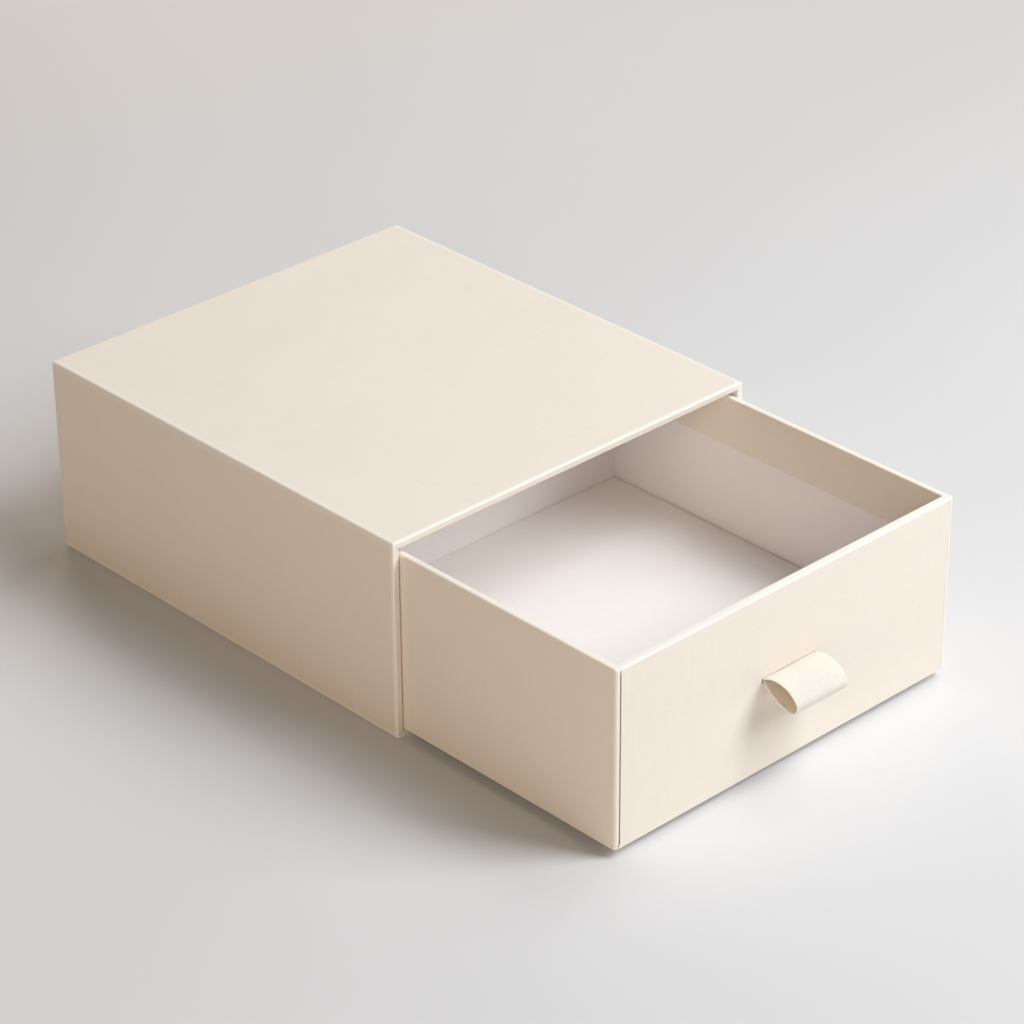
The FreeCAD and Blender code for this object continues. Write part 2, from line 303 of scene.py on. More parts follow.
# Where the sheets' grids have their lines: the first ones' distances from an edge, and last the pitch of the rest
WRAP_RUN_LINES = np.array([0.3, 0.9, 2.0, 8.0]) * MM
WRAP_TURN_IN_LINES = np.array([0.3, 1.0, 3.0]) * MM
WRAP_OUTLINE_LINES = np.array([0.3, 0.7, 1.2, 2.0, 3.5, 6.0]) * MM
BAND_LINES = np.array([0.3, 0.8, 3.0]) * MM
FRONT_LINES = np.array([0.25, 0.7, 1.5, 3.0, 4.0]) * MM
SLOT_LINES = np.array([0.15, 0.4, 0.8, 1.5, 3.0, 3.0]) * MM
SIDE_HEIGHT_LINES = np.array([0.25, 0.6, 1.0, 1.5, 2.5, 4.0]) * MM
SIDE_LINES = np.array([0.25, 0.8, 2.0, 5.0]) * MM
RIBBON_LINES = np.array([0.02, 0.06, 0.09])  # shares of its half width


def normals_of(points, wrapped):
    """Outward unit normals of a grid: the cross product of its steps along a row and from row to row."""
    if wrapped:
        along = np.roll(points, -1, axis=1) - np.roll(points, 1, axis=1)
    else:
        along = np.gradient(points, axis=1)
    across = np.gradient(points, axis=0)
    normal = np.cross(along, across)
    return normal / np.maximum(np.linalg.norm(normal, axis=2, keepdims=True), NO_LENGTH)


def grid_quads(rows, columns, wrapped):
    """The four corner numbers of each cell of a grid, in the order that faces it outwards."""
    index = np.arange(rows * columns).reshape(rows, columns)
    if wrapped:
        index = np.concatenate([index, index[:, :1]], axis=1)
    return np.stack([index[:-1, :-1], index[:-1, 1:], index[1:, 1:], index[1:, :-1]], axis=-1)


def sheet(points, thickness, wrapped=False, keep=None):
    """A sheet with a thickness, as vertices and faces.

    The grid is its outer face. The same grid, moved inwards along its normals by the thickness, is its inner
    face, and a strip joins the two along every edge that only one cell has. Cells outside keep are left out.
    """
    rows, columns = points.shape[:2]
    inner = points - normals_of(points, wrapped) * thickness
    quads = grid_quads(rows, columns, wrapped)
    quads = quads[keep] if keep is not None else quads.reshape(-1, 4)
    count = rows * columns
    edges = np.stack([quads, np.roll(quads, -1, axis=1)], axis=-1).reshape(-1, 2)
    key = edges.min(axis=1) * count + edges.max(axis=1)
    first, times = np.unique(key, return_index=True, return_counts=True)[1:]
    free = edges[first[times == 1]]
    walls = np.stack([free[:, 1], free[:, 0], free[:, 0] + count, free[:, 1] + count], axis=1)
    faces = np.concatenate([quads, quads[:, ::-1] + count, walls])
    return np.concatenate([points.reshape(-1, 3), inner.reshape(-1, 3)]), faces.tolist()


def closed_tube(points):
    """A grid of closed rings, with a face over its first ring and one over its last."""
    rows, columns = points.shape[:2]
    faces = grid_quads(rows, columns, True).reshape(-1, 4).tolist()
    last = (rows - 1) * columns
    faces.append(list(range(columns))[::-1])
    faces.append(list(range(last, last + columns)))
    return points.reshape(-1, 3), faces


def ring(low, high, radius, shares, turn):
    """A rectangle with round corners, anticlockwise from its low side.

    low and high are the corners, as (..., 2) arrays, radius fits their leading part, shares are the stations
    along the low and high sides and along the other two, and turn is the angles of a quarter turn. Each side
    runs straight from the end of one corner's arc to the start of the next.
    """
    low, high = np.asarray(low), np.asarray(high)
    radius = np.asarray(radius)[..., None]
    arcs = []
    for k, (side_x, side_y) in enumerate([(1, 0), (1, 1), (0, 1), (0, 0)]):
        centre_x = high[..., :1] - radius if side_x else low[..., :1] + radius
        centre_y = high[..., 1:] - radius if side_y else low[..., 1:] + radius
        way = (k - 1) * QUARTER + turn
        arcs.append(np.stack([centre_x + radius * np.cos(way), centre_y + radius * np.sin(way)], axis=-1))
    rows = []
    for k, arc in enumerate(arcs):
        start = arcs[k - 1][..., -1:, :]
        rows += [start + (arc[..., :1, :] - start) * shares[k % 2][:, None], arc]
    return np.concatenate(rows, axis=-2)


def lifted(outline, level, order):
    """Flat outlines and a level for each, as points in space. The order names their three axes."""
    points = np.empty(outline.shape[:2] + (3,))
    points[..., order[:2]] = outline
    points[..., order[2]] = level[:, None]
    return points


def soft_rims(low, high, edge):
    """Insets and levels of a plate's rings: a quarter circle out to its full outline, and one back."""
    inset = edge * np.concatenate([1 - np.sin(SLAB_TURN), 1 - np.cos(SLAB_TURN)])
    return inset, np.concatenate([low + edge * (1 - np.cos(SLAB_TURN)), high - edge * (1 - np.sin(SLAB_TURN))])


def slab(low, high, axis, corner, edge, stations=1):
    """A plate with its four corners round one axis rounded and its rims softened.

    Rings of one outline are stacked along the axis: drawn in by the edge radius at each end, they follow a
    quarter circle out to the full outline and back, and a flat face closes each end. The stations are how
    many vertices lie along each side between its ends.
    """
    order = [(axis + 1) % 3, (axis + 2) % 3, axis]
    low, high = np.asarray(low)[order], np.asarray(high)[order]
    inset, level = soft_rims(low[2], high[2], edge)
    shares = [np.linspace(0, 1, stations + 2)[1:-1]] * 2
    outline = ring(low[:2] + inset[:, None], high[:2] - inset[:, None],
                   np.maximum(corner - inset, edge * LEAST_CORNER), shares, SLAB_TURN)
    return closed_tube(lifted(outline, level, order))


def make_piece(name, shape, material, slot, body, nodes, crisp=38.0, **attributes):
    """Puts a shape into a mesh, with its material and vertex values, fixes it to its body and hides the nodes it
    stands for.

    Edges whose faces differ by more than the crisp angle, in degrees, are drawn sharp.
    """
    vertices, faces = shape
    used, renumbered = np.unique(np.concatenate([np.asarray(face) for face in faces]), return_inverse=True)
    splits = np.cumsum([len(face) for face in faces])[:-1]
    mesh = bpy.data.meshes.new(name)
    mesh.from_pydata(vertices[used].tolist(), [], [part.tolist() for part in np.split(renumbered, splits)])
    for key, values in attributes.items():
        values = np.asarray(values)[used]
        kind = "FLOAT" if values.ndim == 1 else "FLOAT_VECTOR"
        field = "value" if values.ndim == 1 else "vector"
        mesh.attributes.new(key, kind, "POINT").data.foreach_set(field, values.astype(np.float32).ravel())
    mesh.polygons.foreach_set("use_smooth", np.ones(len(mesh.polygons), bool))
    mesh.set_sharp_from_angle(angle=math.radians(crisp))
    mesh.materials.append(material)
    piece = bpy.data.objects.new(name, mesh)
    bpy.context.scene.collection.objects.link(piece)
    if body:
        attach(piece, body)
    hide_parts(*nodes)
    return piece


def feed(tree, made, inputs):
    """Gives a node's inputs their values or links."""
    for key, value in inputs.items():
        if isinstance(value, bpy.types.NodeSocket):
            tree.links.new(value, made.inputs[key])
        else:
            made.inputs[key].default_value = value


def node(tree, kind, inputs=None, **settings):
    """Adds a node, sets its properties and gives its inputs their values or links."""
    made = tree.nodes.new(kind)
    for key, value in settings.items():
        setattr(made, key, value)
    feed(tree, made, inputs or {})
    return made


def new_material(name):
    """An empty material with its shader and output joined, returned with its node tree and shader."""
    made = bpy.data.materials.new(name)
    made.use_nodes = True
    made.node_tree.nodes.clear()
    shader = node(made.node_tree, "ShaderNodeBsdfPrincipled")
    node(made.node_tree, "ShaderNodeOutputMaterial", {"Surface": shader.outputs[0]})
    return made, made.node_tree, shader


def opaque(values):
    """A colour with full alpha."""
    return (*values[:3], 1.0)


def noise(tree, place, size, detail, roughness=0.5):
    """A soft random pattern from 0 to 1, with patches of about a size."""
    return node(tree, "ShaderNodeTexNoise", {"Vector": place, "Scale": 1 / size, "Detail": detail,
                                             "Roughness": roughness}).outputs[0]


def maths(tree, operation, *values, **settings):
    """What an operation makes of its values."""
    return node(tree, "ShaderNodeMath", dict(enumerate(values)), operation=operation, **settings).outputs[0]


def mapped(tree, value, given=(0.0, 1.0), wanted=(0.0, 1.0)):
    """A value carried evenly from the given range to the wanted one, and not past its ends."""
    return node(tree, "ShaderNodeMapRange", {"Value": value, "From Min": given[0], "From Max": given[1],
                                             "To Min": wanted[0], "To Max": wanted[1]}).outputs[0]


def mixed(tree, share, one, other):
    """Two colours mixed, by the other's share."""
    return node(tree, "ShaderNodeMix", {"Factor": share, "A": one, "B": other}, data_type="RGBA").outputs[2]


def shaded(tree, base, pattern, given, wanted):
    """A colour made darker and paler by a pattern, whose given range is mapped to shares of the colour."""
    return node(tree, "ShaderNodeVectorMath", {0: base, "Scale": mapped(tree, pattern, given, wanted)},
                operation="SCALE").outputs[0]


def bumped(tree, height, distance, strength, **more):
    """Normals of a surface that seems raised where a pattern is high."""
    return node(tree, "ShaderNodeBump", {"Height": height, "Distance": distance, "Strength": strength,
                                         **more}).outputs[0]


def cover_paper():
    """Uncoated cover paper, embossed with a fine linen grain and glued over board.

    Matt, a little mottled where the glue took it, with streaks along both directions of the emboss, and paler
    over its edges, partly where it is stretched and partly as painted highlight. The linen's thread is drawn
    coarser than real, so that it shows.
    """
    made, tree, shader = new_material("cream_linen_cover_paper")
    paper = bpy.context.scene.gift_box_paper
    place = node(tree, "ShaderNodeTexCoord").outputs["Object"]
    patch = mapped(tree, noise(tree, place, MOTTLE, 3.0, 0.55), (0.38, 0.66))
    tint = mixed(tree, patch, opaque(paper.cover_colour), opaque(paper.cover_warm))
    felt = noise(tree, place, FELT, 2.0)
    grain = felt
    for squeeze in ((0.07, 1.0, 1.0), (1.0, 0.07, 1.0), (1.0, 1.0, 0.07)):
        drawn = node(tree, "ShaderNodeVectorMath", {0: place, 1: squeeze}, operation="MULTIPLY").outputs[0]
        grain = maths(tree, "ADD", grain, noise(tree, drawn, LINEN_THREAD, 1.0))
    toned = shaded(tree, tint, grain, (1.2, 2.8), (0.972, 1.018))
    # Edge wear and painted highlight: the vertex values mix the paler edge colour in
    wear_and_highlight_share = node(tree, "ShaderNodeAttribute", attribute_name="edge_wear").outputs["Fac"]
    swell = bumped(tree, noise(tree, place, SWELL, 1.0), 0.25 * MM, 0.2)
    feed(tree, shader, {"Base Color": mixed(tree, wear_and_highlight_share, toned, opaque(paper.cover_edge_and_highlight)),
                        "Roughness": mapped(tree, felt, wanted=(0.62, 0.78)),
                        "Normal": bumped(tree, grain, 0.012 * MM, 0.8, Normal=swell), "IOR": 1.45,
                        "Specular IOR Level": 0.3})
    return made


def white_paper():
    """Smooth white wood-free paper: matt, nearly even, with a faint cloudy formation of its fibres."""
    made, tree, shader = new_material("white_lining_paper")
    paper = bpy.context.scene.gift_box_paper
    place = node(tree, "ShaderNodeTexCoord").outputs["Object"]
    cloud = noise(tree, place, PAPER_CLOUD, 4.0)
    fibre = noise(tree, place, PAPER_FIBRE, 2.0)
    feed(tree, shader, {"Base Color": shaded(tree, paper.white_colour, cloud, (0.3, 0.7), (0.985, 1.0)),
                        "Roughness": mapped(tree, fibre, wanted=(0.6, 0.72)),
                        "Normal": bumped(tree, fibre, 0.01 * MM, 0.6), "Specular IOR Level": 0.3})
    return made


def grey_board():
    """Greyboard, pressed from waste paper: grey brown, dull, with dark and pale flecks of fibre."""
    made, tree, shader = new_material("greyboard")
    paper = bpy.context.scene.gift_box_paper
    place = node(tree, "ShaderNodeTexCoord").outputs["Object"]
    fleck = noise(tree, place, BOARD_FLECK, 4.0, 0.7)
    feed(tree, shader, {"Base Color": shaded(tree, paper.board_colour, fleck, (0.3, 0.7), (0.7, 1.15)),
                        "Roughness": 0.85, "Normal": bumped(tree, fleck, 0.04 * MM, 0.7),
                        "Specular IOR Level": 0.2})
    return made


def pad_foam():
    """White polyethylene foam, sawn from a block: soft, dull, with small cut cells."""
    made, tree, shader = new_material("white_foam")
    place = node(tree, "ShaderNodeTexCoord").outputs["Object"]
    cells = node(tree, "ShaderNodeTexVoronoi", {"Vector": place, "Scale": 1 / FOAM_CELL}).outputs["Distance"]
    feed(tree, shader, {"Base Color": mapped(tree, cells, wanted=(0.80, 0.90)), "Roughness": 0.9,
                        "Normal": bumped(tree, cells, 0.15 * MM, 0.6)})
    return made


def ribbon_cloth():
    """Grosgrain, woven with thick wefts that stand up as ribs and fine yarns over them.

    The ribs are in the mesh. The grooves between them are darkened as painted shade, and the lengthwise yarns
    are a fine ridge pattern across the ribbon, drawn a little coarser than real so that it shows, with painted
    shade between them. It has a soft sheen, and lets some light through.
    """
    made, tree, shader = new_material("ivory_grosgrain_ribbon")
    ribbon = bpy.context.scene.gift_box_ribbon
    place = node(tree, "ShaderNodeAttribute", attribute_name="ribbon_place").outputs["Vector"]
    across = node(tree, "ShaderNodeSeparateXYZ", {0: place}).outputs[0]
    drift = maths(tree, "MULTIPLY_ADD", noise(tree, place, YARN_WANDER_PITCH, 2.0), YARN_WANDER, across)
    wave = maths(tree, "SINE", maths(tree, "MULTIPLY", drift, math.pi / ribbon.yarn_pitch))
    yarn = maths(tree, "ABSOLUTE", wave)
    # Painted shade in the grooves between the ribs and between the lengthwise yarns
    groove = node(tree, "ShaderNodeAttribute", attribute_name="groove").outputs["Fac"]
    groove_and_yarn_shade = maths(tree, "ADD", groove, mapped(tree, yarn, (0.5, 0.0), (0.0, 0.3)))
    feed(tree, shader, {"Base Color": mixed(tree, groove_and_yarn_shade, opaque(ribbon.ribbon_colour), opaque(ribbon.groove_shade_colour)),
                        "Roughness": 0.7, "Normal": bumped(tree, yarn, 0.06 * MM, 0.7),
                        "Specular IOR Level": 0.3, "Sheen Weight": 0.15, "Subsurface Weight": 1.0,
                        "Subsurface Radius": (1.0, 0.75, 0.5), "Subsurface Scale": 1.5 * MM})
    return made


MAKERS = {"cover": cover_paper, "white": white_paper, "board": grey_board, "foam": pad_foam,
          "ribbon": ribbon_cloth}
MADE = {}


def material(key):
    """One of the box's materials, made when it is first asked for."""
    if key not in MADE:
        MADE[key] = MAKERS[key]()
    return MADE[key]


def dress(names, key):
    """Gives nodes of the model that stay as they are their material."""
    for name in names:
        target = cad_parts[name]
        target.data.materials.clear()
        target.data.materials.append(material(key))


def doubled(values):
    """Vertex values of a sheet's outer face, repeated for its inner face."""
    return np.concatenate([np.asarray(values).ravel()] * 2)


def sleeve_wrap_shape(paper):
    """The wrap: a section profile carried round the sleeve's outline.

    The profile comes from the back along the outside, turns round the mouth's edge in a quarter circle, crosses
    the lip, turns again and runs in. At each row the outline is the sleeve's rectangle drawn in by the
    profile's inset. A fold is pressed in along the lip's mitres, and the base is left open for its own sheet.
    """
    outer, inner = paper.lip_radius, paper.lip_inner_radius
    mouth, back = SLEEVE_LOW[Y], ends("sleeve_wrap", Y)[1]
    rise, fall = 1 - np.cos(WRAP_TURN), 1 - np.sin(WRAP_TURN)
    run = close_to_ends(mouth + outer, back, WRAP_RUN_LINES)[:0:-1]
    lip = steps([outer, SLEEVE_WALL - inner], [LIP_CELLS])[1:-1]
    inside = close_to_ends(mouth + inner, SLEEVE_TURN_IN_END, WRAP_TURN_IN_LINES)[1:]
    inset = np.concatenate([0 * run, outer * rise, lip, SLEEVE_WALL - inner * fall, SLEEVE_WALL + 0 * inside])
    level = np.concatenate([run, mouth + outer * fall, mouth + 0 * lip, mouth + inner * rise, inside])
    span = SLEEVE_HIGH[[X, Z]] - SLEEVE_LOW[[X, Z]] - 2 * WRAP_RADIUS
    shares = [close_to_ends(0, size, WRAP_OUTLINE_LINES)[1:-1] / size for size in span]
    outline = ring(SLEEVE_LOW[[X, Z]] + inset[:, None], SLEEVE_HIGH[[X, Z]] - inset[:, None],
                   np.maximum(WRAP_RADIUS - inset, paper.inner_corner), shares, WRAP_TURN)
    points = lifted(outline, level, [X, Z, Y])
    from_side = np.minimum(points[..., X] - SLEEVE_LOW[X], SLEEVE_HIGH[X] - points[..., X])
    from_top = np.minimum(points[..., Z] - SLEEVE_LOW[Z], SLEEVE_HIGH[Z] - points[..., Z])
    from_both = from_side + from_top
    off_mitre = np.abs(from_side - from_top) / math.sqrt(2)
    bead = 1 - BEAD_SWING + BEAD_SWING * np.cos(math.pi * from_both / paper.crease_bead)
    ripple = bell(off_mitre - RIPPLE_OFF * paper.crease_width, RIPPLE_WIDTH * paper.crease_width)
    fold = bead * bell(off_mitre, paper.crease_width) + RIPPLE_DEPTH * ripple
    fade = bell(points[..., Y] - mouth, paper.crease_reach) * smooth_step((FOLD_END - off_mitre) / FOLD_FADE)
    points -= normals_of(points, True) * (paper.crease_depth * fold * fade)[..., None]
    keep = np.ones((len(level) - 1, outline.shape[1]), bool)
    keep[:len(run), -1] = False
    keep[:len(run), :len(shares[0])] = False
    # Wear and painted highlight on the lip and on the wrap's round corners
    on_lip = (bell(inset - outer * LIP_WEAR_AND_HIGHLIGHT_OFF, outer) * (level < mouth + 2 * outer))[:, None]
    on_corner = bell(from_both - CORNER_WEAR_AND_HIGHLIGHT_OFF * WRAP_RADIUS, CORNER_WEAR_AND_HIGHLIGHT_WIDTH * WRAP_RADIUS)
    on_corner *= (inset < outer)[:, None]
    wear = np.clip(np.maximum(on_lip, WRAP_CORNER_WEAR_AND_HIGHLIGHT * on_corner), 0, 1)
    return sheet(points, PAPER, True, keep), doubled(wear)


def outline_at(way, half, low, high, radius):
    """Points of a rectangle's outline with round corners, by the way along it from the middle of its low side.

    The way runs out along the low side, turns a quarter, runs up the long side, turns again and comes back
    along the high side. A negative way is the mirror image.
    """
    far = np.abs(way)
    flat = half - radius
    quarter = radius * QUARTER
    side = high - low - 2 * radius
    first = np.clip((far - flat) / radius, 0, QUARTER)
    second = np.clip((far - flat - quarter - side) / radius, 0, QUARTER)
    back = np.maximum(far - flat - 2 * quarter - side, 0)
    x = np.minimum(far, flat) + radius * np.sin(first) - radius * (1 - np.cos(second)) - back
    y = low + radius * (1 - np.cos(first)) + np.clip(far - flat - quarter, 0, side) + radius * np.sin(second)
    return np.stack([np.sign(way) * x, y], axis=-1)


def outline_stops(half, low, high, radius, seam):
    """The way along an outline to its seam, its two corners' ends and its far seam."""
    flat = half - radius
    quarter = radius * QUARTER
    side = high - low - 2 * radius
    turned = flat + quarter
    return [0, seam, turned, turned + side, turned + side + turned - seam, turned + side + turned]


def wall_rows(paper, heights):
    """The profile of the drawer's cover, as rows from the lower edge, up the outside, over the rim and down.

    A row's distance from the outer face is its first value plus its second times the wall's thickness. The
    third value is its height and the fourth its wear and painted highlight, which are high on the rounded edges.
    """
    foot, rim, inner = paper.foot_radius, paper.rim_radius, paper.rim_inner_radius
    bottom, top = DRAWER_LOW[Z], DRAWER_HIGH[Z]
    rise, fall, flat = 1 - np.cos(WALL_TURN), 1 - np.sin(WALL_TURN), 0 * WALL_TURN
    inside = close_to_ends(BAND_Z, top - inner, BAND_LINES)[-2::-1]
    fixed = np.concatenate([foot * fall, 0 * heights, rim * rise, [(rim - inner) / 2], -inner * fall, 0 * inside])
    scaled = np.concatenate([flat, 0 * heights, flat, [0.5], flat + 1, 0 * inside + 1])
    level = np.concatenate([bottom + foot * rise, heights, top - rim * fall, [top], top - inner * rise, inside])
    wear = np.concatenate([flat + FOOT_WEAR_AND_HIGHLIGHT, 0 * heights, RIM_WEAR_AND_HIGHLIGHT + (1 - RIM_WEAR_AND_HIGHLIGHT) * np.sin(2 * WALL_TURN),
                           [CREST_WEAR_AND_HIGHLIGHT], flat + INNER_RIM_WEAR_AND_HIGHLIGHT, 0 * inside])
    return fixed, scaled, level, wear


def straight_part(paper):
    """The heights between which the drawer's cover is straight."""
    return DRAWER_LOW[Z] + paper.foot_radius, DRAWER_HIGH[Z] - paper.rim_radius


def drawer_wall(way, rows):
    """The cover's surface over a wall, from the way along the outline and the profile's rows.

    Each point lies on the line from the outer outline to the inner one, whose stops are matched, at the row's
    distance and height.
    """
    fixed, scaled, level = rows[:3]
    corner = bpy.context.scene.gift_box_paper.inner_corner
    around = DRAWER_HIGH[X], DRAWER_LOW[Y], DRAWER_HIGH[Y], WRAP_RADIUS
    within = WELL_HIGH[0], WELL_LOW[1], WELL_HIGH[1], corner
    stops = outline_stops(*around, SEAM), outline_stops(*within, WELL_HIGH[0] - corner)
    outer = outline_at(way, *around)
    across = outline_at(np.sign(way) * np.interp(np.abs(way), *stops), *within) - outer
    wall = np.linalg.norm(across, axis=-1, keepdims=True)
    distance = fixed[:, None, None] + scaled[:, None, None] * wall
    return lifted(outer + across / wall * distance, level, [X, Y, Z])


def seam_way(paper, level):
    """The way along the outline to the side sheet's cut edge: straight, and round at the lower corner."""
    below = np.clip(DRAWER_LOW[Z] + paper.seam_curve - level, 0, paper.seam_curve)
    return SEAM + paper.seam_curve - np.sqrt(paper.seam_curve ** 2 - below ** 2)


def seam_gap(paper, rows, tight):
    """The gap between two sheets at a corner: even on the outside, nearly closed at the rim and inside.

    At the tight corners it is nearly closed all along.
    """
    scaled, level = rows[1:3]
    closing = np.where((scaled == 0) & (not tight), bell(level - DRAWER_HIGH[Z], RIM_CLOSING), 1)
    return (paper.seam_gap * (1 - (1 - paper.seam_close) * closing))[:, None]


def end_cover_shape(paper, back):
    """The front or back sheet, between the side sheets' cut edges, as a grid over its part of the wall.

    The front has the ribbon's slot: its cells are left out and the paper beside it is pressed in. The back is
    its mirror image on a thinner wall.
    """
    slot_x, slot_half = slot_size()
    bottom, top = straight_part(paper)
    beside = SLOT_LINES[:-1]
    slot_low, slot_high = SLOT_Z - slot_half, SLOT_Z + slot_half
    rows = wall_rows(paper, merged(close_to_ends(bottom, slot_low, FRONT_LINES)[1:], slot_low - beside,
                                   close_to_ends(slot_high, top, FRONT_LINES)[:-1], slot_high + beside))
    level, outside = rows[2], rows[1] == 0
    edge = seam_way(paper, level)[:, None]
    share = np.concatenate([close_to_ends(slot_x / SEAM, 1, FRONT_LINES / SEAM), (slot_x + beside) / SEAM])
    middle = close_to_ends(-slot_x / SEAM, slot_x / SEAM, SLOT_LINES / SEAM)[1:-1]
    share = merged(-share, middle, share)
    gap = np.where(share > 0, seam_gap(paper, rows, True), seam_gap(paper, rows, False))
    way = share * (edge - gap / 2)
    points = drawer_wall(way, rows)
    # Wear and painted highlight on the rounded edges and along the sheet's cut edge
    wear = np.maximum(rows[3][:, None], CUT_WEAR_AND_HIGHLIGHT * bell(edge - np.abs(way), CUT_WEAR_AND_HIGHLIGHT_WIDTH))
    if back:
        front_wall, back_wall = WELL_LOW[1] - DRAWER_LOW[Y], DRAWER_HIGH[Y] - WELL_HIGH[1]
        inwards = points[..., Y] - DRAWER_LOW[Y]
        thinner = (front_wall - back_wall) * np.clip(inwards / front_wall, 0, 1)
        points[..., Y] = DRAWER_HIGH[Y] - inwards + thinner
        return sheet(points[:, ::-1], PAPER), doubled(wear[:, ::-1])
    off_x = np.maximum(np.abs(points[..., X]) - slot_x, 0)
    off_z = np.maximum(np.abs(points[..., Z] - SLOT_Z) - slot_half, 0)
    points[..., Y] += paper.slot_press * bell(np.hypot(off_x, off_z), SLOT_PRESS_WIDTH) * outside[:, None]
    hole_x = np.abs(share[1:] + share[:-1]) / 2 < slot_x / SEAM
    hole_z = outside[1:] & (np.abs((level[1:] + level[:-1]) / 2 - SLOT_Z) < slot_half)
    return sheet(points, PAPER, keep=~(hole_z[:, None] & hole_x)), doubled(wear)


def side_wrap_shape(paper, left):
    """A side sheet: from its cut edge on the front, round the corner, along the side and round to the back."""
    rows = wall_rows(paper, close_to_ends(*straight_part(paper), SIDE_HEIGHT_LINES)[1:-1])
    level, outside = rows[2], rows[1] == 0
    low, high = outline_stops(DRAWER_HIGH[X], DRAWER_LOW[Y], DRAWER_HIGH[Y], WRAP_RADIUS, SEAM)[2:4]
    start = seam_way(paper, level)[:, None] + seam_gap(paper, rows, not left) / 2
    front_way = start + (low - start) * steps([0, 1], [CUT_TO_CORNER_CELLS])
    side_way = close_to_ends(low, high, SIDE_LINES)[1:-1] + 0 * start
    way = np.concatenate([front_way, side_way, low + high - front_way[:, ::-1]], axis=1)
    points = drawer_wall(way, rows)
    half_corner = WRAP_RADIUS * QUARTER / 2
    # Wear and painted highlight over the two round corners of the outside
    on_corner = bell(way - (low - half_corner), SIDE_WEAR_AND_HIGHLIGHT_WIDTH) + bell(way - (high + half_corner), SIDE_WEAR_AND_HIGHLIGHT_WIDTH)
    wear = np.maximum(rows[3][:, None], SIDE_WEAR_AND_HIGHLIGHT * on_corner * outside[:, None])
    if left:
        points, wear = points[:, ::-1] * np.array([-1, 1, 1]), wear[:, ::-1]
    return sheet(points, PAPER), doubled(wear)


def slot_size():
    """Half the slot's length and half its height, from the ribbon that passes through it twice."""
    ribbon = bpy.context.scene.gift_box_ribbon
    return RIBBON_HALF_WIDTH + ribbon.side_clearance, ribbon.thickness + ribbon.edge_clearance


def slotted_board(low, high, corner):
    """The front board: a closed loop of rings between its outline and the slot's, on both faces.

    The rings go up the outside, over the back face to the slot, through it and back over the front face. Its
    edges have the same radius as its corners.
    """
    slot_x, slot_half = slot_size()
    shares = [np.linspace(0, 1, BOARD_STATIONS + 2)[1:-1]] * 2
    least = corner * LEAST_CORNER
    inset, rise = soft_rims(low[Y], high[Y], corner)
    outer = ring(low[[Z, X]] + inset[:, None], high[[Z, X]] - inset[:, None], np.maximum(corner - inset, least),
                 shares, SLAB_TURN)
    slot = ring([SLOT_Z - slot_half, -slot_x], [SLOT_Z + slot_half, slot_x], least, shares, SLAB_TURN)
    part = steps([0, 1], [BOARD_FACE_CELLS])[1:, None, None]
    over_back = outer[-1] + (slot - outer[-1]) * part
    over_front = slot + (outer[0] - slot) * part
    level = np.concatenate([rise, np.full(len(part), high[Y]), np.full(len(part), low[Y])])
    points = lifted(np.concatenate([outer, over_back, slot[None], over_front[:-1]]), level, [Z, X, Y])
    rows, columns = points.shape[:2]
    quads = grid_quads(rows + 1, columns, True).reshape(-1, 4) % (rows * columns)
    return points.reshape(-1, 3), quads.tolist()


def liner_shape(ribbon):
    """The front liner: a sheet with a raised field over the ribbon's glued ends, its shoulders smooth."""
    field_x = RIBBON_HALF_WIDTH + FIELD_CLEARANCE
    field_z = TAIL_TOP + FIELD_CLEARANCE - SLOT_Z
    low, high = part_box("drawer_front_liner")
    wave = np.linspace(0, SHOULDER, SHOULDER_CELLS + 1)
    columns = merged(np.linspace(low[X], high[X], LINER_CELLS_ACROSS + 1), field_x + wave, -field_x - wave)
    above = SLOT_Z + field_z + wave
    levels = merged(np.linspace(low[Z], high[Z], LINER_CELLS_UP + 1), above[above <= high[Z]],
                    SLOT_Z - field_z - wave)
    x, z = np.meshgrid(columns, levels)
    off = np.maximum(np.abs(x) - field_x, np.abs(z - SLOT_Z) - field_z)
    y = WELL_LOW[1] + ribbon.thickness * smooth_step(1 - off / SHOULDER)
    return sheet(np.stack([x, y, z], axis=-1)[:, ::-1], PAPER)


def circle_meeting(first, first_radius, second, second_radius, side):
    """Where two circles cross, on the left (1) or right (-1) of the line from the first to the second."""
    across = second - first
    apart = np.linalg.norm(across)
    along = (apart ** 2 + first_radius ** 2 - second_radius ** 2) / (2 * apart)
    aside = side * math.sqrt(first_radius ** 2 - along ** 2)
    return first + (across * along + np.array([-across[1], across[0]]) * aside) / apart


def arc_between(centre, start, end):
    """Points of the arc about a centre that turns clockwise from one point to another."""
    first = math.atan2(*(start - centre)[::-1])
    sweep = -((first - math.atan2(*(end - centre)[::-1])) % (2 * math.pi))
    angles = first + sweep * np.linspace(0, 1, ARC_POINTS)
    return centre + np.linalg.norm(start - centre) * np.stack([np.cos(angles), np.sin(angles)], axis=-1)


def way_along(line):
    """The way along a line of points to each of them."""
    return np.append(0, np.cumsum(np.linalg.norm(np.diff(line, axis=0), axis=1)))


def points_at(line, stations):
    """Points of a flat line at given ways along it."""
    return np.stack([np.interp(stations, way_along(line), line[:, k]) for k in range(2)], axis=-1)


